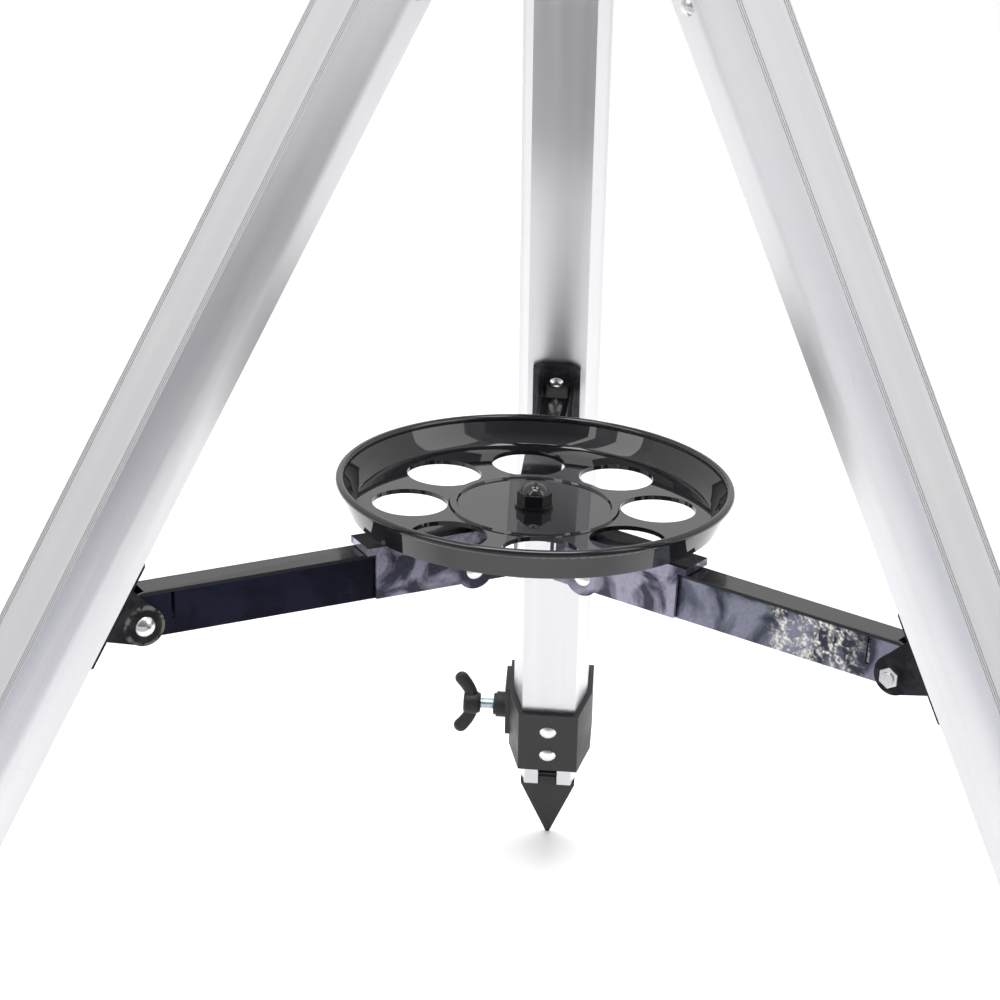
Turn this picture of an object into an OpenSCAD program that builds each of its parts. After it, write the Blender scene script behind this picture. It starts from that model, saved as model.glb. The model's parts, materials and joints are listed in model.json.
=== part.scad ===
/* [Stance] */
// Lean of each leg from vertical, in degrees
leg_lean = 28; // [24:0.5:30]
// Distance from the leg's hinge pin to the end of its tip, legs retracted
leg_length = 700; // [680:1:740]
// Radius of the circle that the three hinge pins touch
hinge_radius = 50; // [50:1:60]

/* [Leg section] */
// Width of the outward face of the outer leg
leg_w = 38.4; // [34:0.2:42]
// Depth of the outer leg, from outward face to inward web
leg_d = 31; // [29:0.5:34]
// Width of the parallel sides before they start to taper
leg_side = 16; // [13:0.5:18]
// Width of the inward web
leg_web_w = 27.6; // [26:0.2:32]
// Wall of the outer leg
leg_wall = 1.6; // [1.4:0.1:1.8]
// Wall of the inner leg
inner_wall = 1.5; // [1.2:0.1:1.8]
// Gap between the inner and the outer leg
slide_gap = 0.5; // [0.4:0.05:0.7]

/* [Spreader] */
// Distance along the leg from the hinge pin to the spreader bracket's bolt
brace_station = 337; // [330:1:345]
// Distance of that bolt from the leg's inward web
brace_standoff = 16.4; // [15.5:0.1:18]
// Slope of the arms, rising to the hub
arm_slope = 1.8; // [0.5:0.1:3]
// Radius of the circle through the three hub pivots
hub_pivot_radius = 31; // [30:0.5:34]
// Width of a spreader arm
arm_w = 13; // [12:0.5:14]
// Height of the arm above its pivots
arm_top = 14; // [13:0.5:14]
// Depth of the arm below its pivots
arm_drop = 6; // [5.5:0.5:7]
// Radius out to which the hub's channels cover the arms
hub_reach = 81; // [70:1:82]

/* [Tray] */
// Outer diameter of the tray's rim
tray_dia = 170; // [160:1:172]
// Height of the tray
tray_h = 14; // [12:0.5:18]
// Diameter of the eyepiece holes
hole_dia = 32.4; // [32:0.1:33]
// Diameter of the circle through the holes
hole_circle_dia = 106; // [105:0.5:108]
// Number of eyepiece holes
hole_count = 8; // [6:1:8]
// Turn of the tray on its stud, in degrees
tray_turn = 6; // [0:1:22]

/* [Clamp and foot] */
// Distance along the leg from the hinge pin to the clamp collar's top
collar_top = 576; // [570:1:580]
// Length of the clamp collar
collar_len = 47; // [44:1:50]
// Wall of the clamp collar
collar_wall = 2.6; // [2.4:0.1:3.2]
// Length of inner leg that shows below the collar
inner_show = 18; // [15:1:40]
// Turn of the wing screws from the line of the leg, in degrees
wing_turn = 22; // [0:1:90]
// Span of the wing screw's wings
wing_span = 35; // [32:1:38]

/* [Head] */
// Radius of the head casting's round body
head_body_r = 36; // [34:0.5:37]
// Radius of the flat round top of the head
head_top_r = 42; // [40:0.5:44]
// Radius of the stud that the telescope mount screws on to, 3/8 inch
stud_r = 4.76; // [4.7:0.01:4.8]
// Height of the stud above the head's top face
stud_show = 18; // [14:1:22]

/* [Hidden] */

$fn = 64;

// The three legs stand 120 degrees apart; azimuth counts from +X towards +Y
az_back = 90;
az_left = 210;
az_right = 330;
azimuths = [az_back, az_left, az_right];

// Colours
silver = [0.80, 0.80, 0.83];
black_gloss = [0.05, 0.05, 0.07];
black_matt = [0.10, 0.10, 0.11];
zinc = [0.72, 0.76, 0.80];
steel = [0.62, 0.62, 0.64];

eps = 0.1;            // overrun of a cut past a face
touch_gap = 0.05;     // space left between fixed faces of neighbouring pieces
hole_gap = 0.2;       // radial clearance of a bolt in a plain hole
rivet_r = 2;
rivet_hole_r = rivet_r + 0.1;
running_gap = 0.06;   // radial clearance of a turning fit

// Heights
tip_r = 1.5;
hinge_z = (leg_length - tip_r) * cos(leg_lean) + tip_r;

// Leg section: the sides taper at this angle from leg_side down to the web
taper_run = leg_d - leg_side;
taper = atan((leg_w - leg_web_w) / 2 / taper_run);
web_v = -leg_d / 2;
face_v = leg_d / 2;
corner_v = face_v - leg_side;
side_mid_v = face_v - leg_side / 2;

// Fine grooves along both edges of the outward face
groove_w = 0.7;
groove_depth = 0.45;
groove_pitch = 1.5;
groove_count = 3;

// Spreader: the bolts on the legs and the pivots under the hub
brace_v = web_v - brace_standoff;
brace_r = hinge_radius + brace_station * sin(leg_lean) + brace_v * cos(leg_lean);
brace_z = hinge_z - brace_station * cos(leg_lean) + brace_v * sin(leg_lean);
arm_run = brace_r - hub_pivot_radius;
arm_length = arm_run / cos(arm_slope);
hub_pivot_z = brace_z + arm_run * tan(arm_slope);
sheet = 1.5;          // sheet metal of arms and bracket ears
arm_side_gap = 0.6;   // space between an arm and the sheet beside it
brace_bolt_r = 2.5;

// Hub
hub_web = 3.2;
hub_web_gap = 0.4;
hub_cheek = 1.6;
hub_half_w = arm_w / 2 + arm_side_gap + hub_cheek;
hub_disc_r = 22;
hub_top = hub_pivot_z + hub_pivot_radius * tan(arm_slope) + arm_top + hub_web_gap + hub_web;

// Tray
tray_foot_h = 1.4;
tray_bottom = hub_top + tray_foot_h;
tray_floor_t = 2;
tray_floor = tray_bottom + tray_floor_t;
tray_wall = 2.2;
tray_foot_r = tray_dia / 2 - 6;
rim_bead_r = 1.8;
tray_stud_r = 3;
tray_washer_t = 1.2;

// Leg ends and clamp
fitting_top = 20;
outer_leg_top = 26;
outer_leg_end = collar_top + collar_len - 5;
plug_end = 72;
inner_leg_top = 82;
collar_end = collar_top + collar_len;
inner_leg_end = collar_end + inner_show;
inner_slot_w = 10;
screw_s = collar_top + 25;
screw_r = 3;
boss_y = leg_w / 2 + collar_wall + 2.2;
boss_len = 6.6;
grip_y = boss_y + boss_len + 7;
grip_hub_len = 9;

// Head
lug_t = 5;
tongue_half = 6.1;
lug_gap = 0.3;
lug_r = 11;
lug_root = hinge_radius - head_body_r + 6;   // from the hinge pin to inside the round body
head_floor = hinge_z - 14;
head_top = hinge_z + 18;
head_web_z = hinge_z - 2;
bolt_r = 3;
hex_af = 10;
knob_neck_r = 11;

// ---------- frames and shared shapes ----------

// A frame on one leg: origin at its hinge pin, +x out of its outward face, -z down the leg
module on_leg(azimuth) {
  rotate([0, 0, azimuth]) translate([hinge_radius, 0, hinge_z]) rotate([0, -leg_lean, 0]) children();
}

// A frame on one arm: origin at its hub pivot, +x along the arm towards the leg
module on_arm(azimuth) {
  rotate([0, 0, azimuth]) translate([hub_pivot_radius, 0, hub_pivot_z]) rotate([0, arm_slope, 0])
    children();
}

// Half the width of the leg section at the web, after moving every wall in by inset
function web_half(inset) =
  leg_w / 2 - (inset - sin(taper) * (web_v + inset - corner_v)) / cos(taper);

// The leg's outline, moved inwards by inset; a negative inset makes it larger
module leg_outline(inset) {
  side = leg_w / 2 - inset;
  web = web_half(inset);
  corner = corner_v + inset * tan(taper / 2);
  polygon([
    [face_v - inset, -side], [face_v - inset, side], [corner, side],
    [web_v + inset, web], [web_v + inset, -web], [corner, -side],
  ]);
}

// A length of leg outline from station s1 down to station s2
module leg_block(inset, s1, s2) {
  translate([0, 0, -s2]) linear_extrude(s2 - s1) leg_outline(inset);
}

// The grooves cut along one edge of the outward face
module edge_grooves(side) {
  for (i = [0 : groove_count - 1])
    translate([face_v - groove_depth, side * (leg_w / 2 - 1.2 - i * groove_pitch) - groove_w / 2])
      square([groove_depth + eps, groove_w]);
}

// A domed head standing on z = 0
module dome(r, h) {
  ball = (r * r + h * h) / (2 * h);
  rotate_extrude() intersection() {
    translate([0, h - ball]) circle(ball);
    square([r, h]);
  }
}

// A hexagonal prism standing on z = 0, af across flats
module hex(af, h) {
  cylinder(r = af / sqrt(3), h = h, $fn = 6);
}

// A rivet along -x with its dome outside the face at x = 0 and a tail inside the wall
module web_rivet(head_r, shank_r, grip) {
  rotate([0, -90, 0]) {
    dome(head_r, head_r * 0.5);
    translate([0, 0, -grip]) cylinder(r = shank_r, h = grip + eps);
    translate([0, 0, -grip - 1.2]) cylinder(r = shank_r + 0.8, h = 1.2);
  }
}

// ---------- head ----------

module hinge_lugs() {
  for (side = [-1, 1]) translate([0, side * (tongue_half + lug_gap + lug_t / 2), 0])
    rotate([90, 0, 0]) linear_extrude(lug_t, center = true) {
      circle(lug_r);
      translate([-lug_root, -lug_r]) square([lug_root, 2 * lug_r]);
    }
}

module head_casting() {
  recess_r = 27;        // hollow under the head, round the knob
  flange_t = 6;
  mark_r = 33;          // turned groove in the top face
  mark_w = 1.5;
  mark_depth = 1;
  color(black_matt) difference() {
    union() {
      translate([0, 0, head_floor]) cylinder(r = head_body_r, h = head_top - head_floor);
      translate([0, 0, head_top - flange_t]) cylinder(r = head_top_r, h = flange_t);
      for (azimuth = azimuths) rotate([0, 0, azimuth]) translate([hinge_radius, 0, hinge_z])
        hinge_lugs();
    }
    translate([0, 0, head_floor - eps]) cylinder(r = recess_r, h = head_web_z - head_floor + eps);
    translate([0, 0, head_floor]) cylinder(r = stud_r + running_gap, h = head_top - head_floor + eps);
    translate([0, 0, head_top - mark_depth]) difference() {
      cylinder(r = mark_r, h = mark_depth + eps);
      translate([0, 0, -eps]) cylinder(r = mark_r - mark_w, h = mark_depth + 3 * eps);
    }
    for (azimuth = azimuths) rotate([0, 0, azimuth]) translate([hinge_radius, 0, hinge_z])
      rotate([90, 0, 0]) cylinder(r = bolt_r + hole_gap, h = 40, center = true);
  }
}

module mount_stud() {
  thread_relief = 1;
  color(zinc) {
    translate([0, 0, head_web_z - 14]) cylinder(r = stud_r, h = head_top - head_web_z + 14);
    translate([0, 0, head_top - eps]) cylinder(r = stud_r - 0.5, h = thread_relief + 2 * eps);
    translate([0, 0, head_top + thread_relief]) cylinder(r = stud_r, h = stud_show - thread_relief);
  }
}

module mount_washer() {
  washer_t = 1.6;
  color(zinc) translate([0, 0, head_web_z - 2 * touch_gap - washer_t]) difference() {
    cylinder(r = knob_neck_r, h = washer_t);
    translate([0, 0, -eps]) cylinder(r = stud_r + hole_gap, h = washer_t + 2 * eps);
  }
}

module mount_knob() {
  knob_r = 17;
  knob_h = 18;
  lobes = 8;
  color(black_matt) translate([0, 0, head_web_z - 1.8 - knob_h]) difference() {
    union() {
      cylinder(r = knob_r, h = knob_h - 5);
      cylinder(r = knob_neck_r, h = knob_h);
    }
    translate([0, 0, 5]) cylinder(r = stud_r + touch_gap, h = knob_h);
    for (i = [0 : lobes - 1]) rotate([0, 0, i * 360 / lobes])
      translate([knob_r + 2.6, 0, -eps]) cylinder(r = 4.6, h = knob_h);
  }
}

module hinge_bolt(azimuth) {
  reach = tongue_half + lug_gap + lug_t + touch_gap;
  color(steel) rotate([0, 0, azimuth]) translate([hinge_radius, 0, hinge_z]) rotate([90, 0, 0]) {
    translate([0, 0, -reach - 6]) cylinder(r = bolt_r, h = 2 * reach + 6 + eps);
    translate([0, 0, reach]) hex(hex_af, 4);
    translate([0, 0, -reach - 5]) difference() {
      hex(hex_af, 5);
      translate([0, 0, -eps]) cylinder(r = bolt_r + touch_gap, h = 6);
    }
  }
}

// ---------- legs ----------

module leg_top(azimuth) {
  color(black_matt) on_leg(azimuth) difference() {
    union() {
      rotate([90, 0, 0]) cylinder(r = lug_r - 0.2, h = 2 * tongue_half, center = true);
      translate([-lug_r + 1, -tongue_half, -fitting_top - eps])
        cube([2 * lug_r - 2, 2 * tongue_half, fitting_top + eps]);
      leg_block(0, fitting_top, outer_leg_top - touch_gap);
      leg_block(leg_wall + touch_gap, outer_leg_top - 1, plug_end);
    }
    rotate([90, 0, 0]) cylinder(r = bolt_r + running_gap, h = 30, center = true);
    for (side = [-1, 1]) facet_hole(side);
  }
}

// The rivets of the leg top sit on the two tapering faces
rivet_s = 58;
facet_v = (corner_v + web_v) / 2;
facet_y = (leg_w + leg_web_w) / 4;

module on_facet(side) {
  translate([facet_v, side * facet_y, -rivet_s]) rotate([-side * 90, 0, 0])
    rotate([0, -taper, 0]) children();
}

module facet_hole(side) {
  on_facet(side) translate([0, 0, -8]) cylinder(r = rivet_hole_r, h = 10);
}

module leg_top_rivets(azimuth) {
  color(steel) on_leg(azimuth) for (side = [-1, 1]) on_facet(side) {
    translate([0, 0, touch_gap]) dome(3.6, 1.6);
    translate([0, 0, -7.5]) cylinder(r = rivet_r, h = 7.6);
  }
}

module outer_leg(azimuth) {
  color(silver) on_leg(azimuth) difference() {
    translate([0, 0, -outer_leg_end]) linear_extrude(outer_leg_end - outer_leg_top) difference() {
      leg_outline(0);
      leg_outline(leg_wall);
      edge_grooves(1);
      edge_grooves(-1);
    }
    for (side = [-1, 1]) facet_hole(side);
    for (s = concat(bracket_rivet_s, collar_rivet_s))
      translate([web_v - eps, 0, -s]) rotate([0, 90, 0]) cylinder(r = rivet_hole_r, h = leg_wall + 2 * eps);
    translate([side_mid_v, leg_w / 2 - 3, -screw_s]) rotate([-90, 0, 0])
      cylinder(r = screw_r + 0.5, h = 4);
  }
}

module inner_leg(azimuth) {
  outside = leg_wall + slide_gap;
  color(silver) on_leg(azimuth) difference() {
    leg_block(outside, inner_leg_top, inner_leg_end);
    leg_block(outside + inner_wall, inner_leg_top - eps, inner_leg_end + eps);
    translate([web_v, -inner_slot_w / 2, -inner_leg_end - eps])
      cube([8, inner_slot_w, inner_leg_end - inner_leg_top + 2 * eps]);
  }
}

module foot_tip(azimuth) {
  inside = leg_wall + slide_gap + inner_wall + touch_gap;
  base_y = 14.4;
  base_v = 11;
  base_t = 3;
  plug_len = 8;
  tab_len = 6;
  color(black_matt) on_leg(azimuth) {
    leg_block(inside, inner_leg_end - plug_len, inner_leg_end + 1);
    translate([web_v + leg_wall + slide_gap + 0.6, -inner_slot_w / 2 + 0.3, -inner_leg_end])
      cube([5, inner_slot_w - 0.6, tab_len]);
    hull() {
      translate([-base_v, -base_y, -inner_leg_end - touch_gap - base_t])
        cube([2 * base_v, 2 * base_y, base_t]);
      translate([0, 0, -leg_length + tip_r]) sphere(tip_r, $fn = 24);
    }
  }
}

// ---------- clamp ----------

collar_rivet_s = [collar_top + 14.5, collar_top + 34];

module clamp_collar(azimuth) {
  color(black_matt) on_leg(azimuth) difference() {
    union() {
      leg_block(-collar_wall, collar_top, collar_end);
      translate([corner_v, leg_w / 2, -collar_top - 40]) cube([leg_side, collar_wall + 2.2, 38]);
      translate([side_mid_v, boss_y - eps, -screw_s]) rotate([-90, 0, 0]) {
        cylinder(r = 6.8, h = boss_len - 1.5 + eps);
        cylinder(r1 = 6.8, r2 = 5.6, h = boss_len + eps);
      }
    }
    leg_block(-touch_gap, collar_top - eps, outer_leg_end + touch_gap);
    leg_block(leg_wall + slide_gap / 2, collar_top, collar_end + eps);
    translate([side_mid_v, leg_w / 2 - 3, -screw_s]) rotate([-90, 0, 0])
      cylinder(r = screw_r + running_gap, h = 30);
    for (s = collar_rivet_s)
      translate([web_v - 10, 0, -s]) rotate([0, 90, 0]) cylinder(r = rivet_hole_r, h = 12);
  }
}

module collar_rivets(azimuth) {
  color(steel) on_leg(azimuth) for (s = collar_rivet_s)
    translate([web_v - collar_wall - touch_gap, 0, -s])
      web_rivet(4.4, rivet_r, collar_wall + leg_wall + 2 * touch_gap);
}

module wing_thread(azimuth) {
  start = leg_w / 2 - leg_wall - slide_gap + touch_gap;
  color(zinc) on_leg(azimuth) translate([side_mid_v, start, -screw_s]) rotate([-90, 0, 0])
    cylinder(r = screw_r, h = grip_y + 6 - start);
}

// One wing: a flat curved lobe that sweeps outwards from the grip's hub
module wing_lobe() {
  lobe_r = 4;
  tip = wing_span / 2 - lobe_r;
  rotate([90, 0, 0]) linear_extrude(5.4, center = true) {
    translate([tip, grip_hub_len + 2.5]) circle(lobe_r);
    polygon([
      [3, 0.5], [9, 2.5], [tip + lobe_r * 0.94, grip_hub_len + 1.1],
      [tip - lobe_r * 0.8, grip_hub_len + 4.9], [9, 8.6], [3, grip_hub_len - 0.5],
    ]);
  }
}

module wing_grip(azimuth) {
  color(black_matt) on_leg(azimuth) translate([side_mid_v, grip_y, -screw_s]) rotate([-90, 0, 0])
    rotate([0, 0, 90 + wing_turn]) difference() {
      union() {
        cylinder(r1 = 5.4, r2 = 6.2, h = 2);
        translate([0, 0, 2]) cylinder(r = 6.2, h = grip_hub_len - 2);
        wing_lobe();
        rotate([0, 0, 180]) wing_lobe();
      }
      translate([0, 0, -eps]) cylinder(r = screw_r + touch_gap, h = 6.2);
    }
}

// ---------- spreader ----------

bracket_half_len = 26.4;
bracket_w = 22.4;
bracket_t = 2.5;
bracket_rivet_s = [brace_station - 15, brace_station + 15];
ear_r = 8.6;
ear_y = arm_w / 2 + arm_side_gap + sheet / 2;

module bracket_ear() {
  rotate([90, 0, 0]) linear_extrude(sheet, center = true) {
    circle(ear_r);
    polygon([
      [0, ear_r], [brace_standoff - bracket_t, ear_r + 3.5],
      [brace_standoff - bracket_t, -ear_r - 3.5], [0, -ear_r],
    ]);
  }
}

module brace_bracket(azimuth) {
  color(black_gloss) on_leg(azimuth) difference() {
    union() {
      translate([web_v - touch_gap - bracket_t, 0, -brace_station]) rotate([0, 90, 0])
        linear_extrude(bracket_t) polygon([
          [bracket_half_len, 0.3 * bracket_w], [bracket_half_len - 3, bracket_w / 2],
          [3 - bracket_half_len, bracket_w / 2], [-bracket_half_len, 0.3 * bracket_w],
          [-bracket_half_len, -0.3 * bracket_w], [3 - bracket_half_len, -bracket_w / 2],
          [bracket_half_len - 3, -bracket_w / 2], [bracket_half_len, -0.3 * bracket_w],
        ]);
      for (side = [-1, 1]) translate([brace_v, side * ear_y, -brace_station]) bracket_ear();
    }
    translate([brace_v, 0, -brace_station]) rotate([90, 0, 0])
      cylinder(r = brace_bolt_r + 0.1, h = 30, center = true);
    for (s = bracket_rivet_s)
      translate([web_v - 10, 0, -s]) rotate([0, 90, 0]) cylinder(r = rivet_hole_r, h = 12);
  }
}

module bracket_rivets(azimuth) {
  color(steel) on_leg(azimuth) for (s = bracket_rivet_s)
    translate([web_v - bracket_t - 2 * touch_gap, 0, -s])
      web_rivet(3.2, rivet_r, bracket_t + leg_wall + 3 * touch_gap);
}

module brace_bolt(azimuth) {
  reach = ear_y + sheet / 2 + touch_gap;
  color(steel) on_leg(azimuth) translate([brace_v, 0, -brace_station]) rotate([-90, 0, 0]) {
    translate([0, 0, -reach - 4.2]) cylinder(r = brace_bolt_r, h = 2 * reach + 4.2 + eps);
    translate([0, 0, reach]) dome(4.6, 2.6);
    translate([0, 0, -reach - 3.6]) difference() {
      hex(8, 3.6);
      translate([0, 0, -eps]) cylinder(r = brace_bolt_r + touch_gap, h = 4);
    }
  }
}

// Points along an arc about [x, 0], from angle start to angle stop
function arc(x, r, start, stop, steps = 8) =
  [for (i = [0 : steps]) let (a = start + (stop - start) * i / steps) [x + r * cos(a), r * sin(a)]];

// The arm's side view, x along the arm from the hub pivot, y upwards; the hub end is cut low
module arm_side(inset) {
  round_r = arm_drop - inset;
  shoulder_x = 12 + inset;
  shoulder_y = 9 - inset;
  top = arm_top - inset;
  end_x = arm_length + 7.6 - inset;
  polygon(concat(
    [[-2 + inset, shoulder_y], [shoulder_x, shoulder_y], [shoulder_x, top], [arm_length, top],
     [arm_length + 5 - inset, top - 1.8], [end_x, 6], [end_x, 1]],
    arc(arm_length, round_r, -30, -90),
    arc(0, round_r, -90, -180),
    [[-round_r, 4 - inset]]
  ));
}

module spreader_arm(azimuth) {
  // A slit in each side, just short of the leg end, lets that end be folded square
  slit_back = 13;
  slit_w = 1.6;
  slit_len = 12;
  color(black_gloss) on_arm(azimuth) difference() {
    rotate([90, 0, 0]) linear_extrude(arm_w, center = true) arm_side(0);
    rotate([90, 0, 0]) linear_extrude(arm_w - 2 * sheet, center = true) difference() {
      arm_side(sheet);
      translate([arm_length - 3, 0]) square([20, 20]);
    }
    translate([-20, -arm_w / 2 + sheet, -arm_drop - eps])
      cube([arm_length + 40, arm_w - 2 * sheet, 4]);
    translate([arm_length - 1, -arm_w / 2 + sheet, -10]) cube([20, arm_w - 2 * sheet, 30]);
    for (x = [0, arm_length]) translate([x, 0, 0]) rotate([90, 0, 0])
      cylinder(r = brace_bolt_r + running_gap, h = 20, center = true);
    for (side = [-1, 1])
      translate([arm_length - slit_back, side * arm_w / 2, arm_top - sheet - slit_len / 2])
        cube([slit_w, 2 * sheet + 2 * eps, slit_len], center = true);
  }
}

// One of the hub's three channels, drawn in the arm's frame
module hub_channel() {
  web_z = arm_top + hub_web_gap;
  channel_end = hub_reach - hub_pivot_radius;
  cheek_end = channel_end - 4;
  translate([-hub_pivot_radius + 8, -hub_half_w, web_z])
    cube([channel_end + hub_pivot_radius - 8, 2 * hub_half_w, hub_web]);
  for (side = [-1, 1]) translate([0, side * (hub_half_w - hub_cheek / 2), 0]) rotate([90, 0, 0])
    linear_extrude(hub_cheek, center = true) {
      translate([-14, -arm_drop + 0.4]) square([14 + cheek_end, web_z + arm_drop]);
      circle(8.6);
    }
}

module spreader_hub() {
  color(black_gloss) difference() {
    union() {
      for (azimuth = azimuths) on_arm(azimuth) hub_channel();
      translate([0, 0, hub_top - hub_web]) cylinder(r = hub_disc_r, h = hub_web);
    }
    translate([0, 0, hub_top]) cylinder(r = hub_pivot_radius, h = 5);
    translate([0, 0, hub_top - 10]) cylinder(r = tray_stud_r + hole_gap, h = 20);
    for (azimuth = azimuths) on_arm(azimuth) rotate([90, 0, 0])
      cylinder(r = brace_bolt_r + 0.1, h = 40, center = true);
  }
}

// Rivets in the hub's cheeks at the arms' inner pivots
module hub_pins() {
  color(steel) for (azimuth = azimuths) on_arm(azimuth) for (side = [-1, 1])
    translate([0, side * (hub_half_w + touch_gap), 0]) rotate([-side * 90, 0, 0]) {
      dome(4.2, 1.6);
      translate([0, 0, -hub_cheek]) cylinder(r = brace_bolt_r, h = hub_cheek + eps);
    }
}

// ---------- tray ----------

// Half section of the dish: flat floor, raised ring, sloping wall and a beaded rim
module tray_profile() {
  rim_r = tray_dia / 2 - rim_bead_r;
  ring_r = 34.6;
  ring_w = 2;
  polygon([
    [0, 0], [tray_foot_r, 0], [rim_r + 1.2, tray_h - rim_bead_r], [rim_r - 1.2, tray_h - rim_bead_r],
    [tray_foot_r - tray_wall, tray_floor_t + 1], [tray_foot_r - tray_wall - 1.2, tray_floor_t],
    [ring_r + ring_w, tray_floor_t], [ring_r + ring_w - 0.6, tray_floor_t + 0.9],
    [ring_r - ring_w + 0.6, tray_floor_t + 0.9], [ring_r - ring_w, tray_floor_t], [0, tray_floor_t],
  ]);
  translate([rim_r, tray_h - rim_bead_r]) circle(rim_bead_r);
  translate([0, -tray_foot_h + touch_gap]) square([14, tray_foot_h]);
}

module tray() {
  color(black_gloss) translate([0, 0, tray_bottom]) difference() {
    rotate_extrude() tray_profile();
    translate([0, 0, -5]) cylinder(r = tray_stud_r + 0.3, h = 20);
    for (i = [0 : hole_count - 1]) rotate([0, 0, tray_turn + i * 360 / hole_count])
      translate([hole_circle_dia / 2, 0, -1]) cylinder(d = hole_dia, h = 10);
  }
}

module tray_stud() {
  under = hub_top - hub_web - touch_gap;
  color(zinc) {
    translate([0, 0, under - 2.4]) hex(10, 2.4);
    translate([0, 0, under - eps]) cylinder(r = tray_stud_r, h = tray_floor + 8 - under);
  }
}

module tray_washer() {
  color(steel) translate([0, 0, tray_floor + touch_gap]) difference() {
    cylinder(r = 8.5, h = tray_washer_t);
    translate([0, 0, -eps]) cylinder(r = tray_stud_r + 0.3, h = 3);
  }
}

module tray_nut() {
  base = tray_floor + tray_washer_t + 2 * touch_gap;
  color(black_gloss) translate([0, 0, base]) difference() {
    union() {
      hex(13, 5);
      translate([0, 0, 5 - eps]) dome(6.2, 4.2);
    }
    translate([0, 0, -eps]) cylinder(r = tray_stud_r + running_gap, h = 7.2);
  }
}

// ---------- nodes ----------

head_casting();
mount_stud();
mount_washer();
mount_knob();
hinge_bolt(az_back);  // hinge_bolt_back
hinge_bolt(az_left);  // hinge_bolt_left
hinge_bolt(az_right);  // hinge_bolt_right
leg_top(az_back);  // leg_top_back
leg_top(az_left);  // leg_top_left
leg_top(az_right);  // leg_top_right
leg_top_rivets(az_back);  // leg_top_rivets_back
leg_top_rivets(az_left);  // leg_top_rivets_left
leg_top_rivets(az_right);  // leg_top_rivets_right
outer_leg(az_back);  // outer_leg_back
outer_leg(az_left);  // outer_leg_left
outer_leg(az_right);  // outer_leg_right
inner_leg(az_back);  // inner_leg_back
inner_leg(az_left);  // inner_leg_left
inner_leg(az_right);  // inner_leg_right
foot_tip(az_back);  // foot_tip_back
foot_tip(az_left);  // foot_tip_left
foot_tip(az_right);  // foot_tip_right
clamp_collar(az_back);  // clamp_collar_back
clamp_collar(az_left);  // clamp_collar_left
clamp_collar(az_right);  // clamp_collar_right
collar_rivets(az_back);  // collar_rivets_back
collar_rivets(az_left);  // collar_rivets_left
collar_rivets(az_right);  // collar_rivets_right
wing_thread(az_back);  // wing_thread_back
wing_thread(az_left);  // wing_thread_left
wing_thread(az_right);  // wing_thread_right
wing_grip(az_back);  // wing_grip_back
wing_grip(az_left);  // wing_grip_left
wing_grip(az_right);  // wing_grip_right
brace_bracket(az_back);  // brace_bracket_back
brace_bracket(az_left);  // brace_bracket_left
brace_bracket(az_right);  // brace_bracket_right
bracket_rivets(az_back);  // bracket_rivets_back
bracket_rivets(az_left);  // bracket_rivets_left
bracket_rivets(az_right);  // bracket_rivets_right
brace_bolt(az_back);  // brace_bolt_back
brace_bolt(az_left);  // brace_bolt_left
brace_bolt(az_right);  // brace_bolt_right
spreader_arm(az_back);  // spreader_arm_back
spreader_arm(az_left);  // spreader_arm_left
spreader_arm(az_right);  // spreader_arm_right
spreader_hub();
hub_pins();
tray();
tray_stud();
tray_washer();
tray_nut();
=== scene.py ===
# %% [markdown]
# # A folding telescope tripod
# The tripod is three drawn aluminium legs, a spreader with a gloss black accessory tray, and a cast head.
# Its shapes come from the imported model, which is loaded first and never moved. What is added here is the
# finish: rounded edges, cut threads, moulded wing screws, and a material for every piece.

import json
from math import atan2, cos, degrees, pi, radians, sin

import bpy
import numpy as np
from mathutils import Matrix, Vector


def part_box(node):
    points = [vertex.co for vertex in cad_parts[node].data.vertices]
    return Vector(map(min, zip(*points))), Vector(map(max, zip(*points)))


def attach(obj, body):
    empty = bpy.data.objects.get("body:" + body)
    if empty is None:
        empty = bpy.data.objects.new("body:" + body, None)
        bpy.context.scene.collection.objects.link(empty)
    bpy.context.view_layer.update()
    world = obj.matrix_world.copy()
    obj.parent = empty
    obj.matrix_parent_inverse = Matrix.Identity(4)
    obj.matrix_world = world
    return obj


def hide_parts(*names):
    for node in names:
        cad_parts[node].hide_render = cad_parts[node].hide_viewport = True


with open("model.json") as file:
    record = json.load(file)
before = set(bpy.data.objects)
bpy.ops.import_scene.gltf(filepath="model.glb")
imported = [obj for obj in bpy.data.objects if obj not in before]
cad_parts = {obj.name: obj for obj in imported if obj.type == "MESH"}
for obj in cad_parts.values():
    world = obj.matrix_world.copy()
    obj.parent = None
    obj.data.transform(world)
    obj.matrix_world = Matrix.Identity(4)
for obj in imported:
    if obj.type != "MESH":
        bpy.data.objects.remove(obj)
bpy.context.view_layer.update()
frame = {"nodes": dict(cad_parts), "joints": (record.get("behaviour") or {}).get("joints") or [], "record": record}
nodes = frame["nodes"]
joints = {joint["name"]: joint for joint in frame["joints"]}
SIDES = ("back", "left", "right")
MM = 0.001

# %% [markdown]
# The camera comes first. It stands in front of the tripod and a little to one side, looks down on the tray,
# and is rolled slightly. A long lens from a metre and a half keeps the perspective of the legs gentle. Its
# place is counted from the middle of the tray's rim, so it follows the model.

# %% Camera
CAMERA_DISTANCE = 1.6137
CAMERA_HEIGHT_ANGLE = radians(20.19)
CAMERA_SIDE_ANGLE = radians(2.39)
LOOK_DOWN = radians(20.53)
LOOK_LEFT = radians(2.945)
ROLL = radians(2.58)

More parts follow.
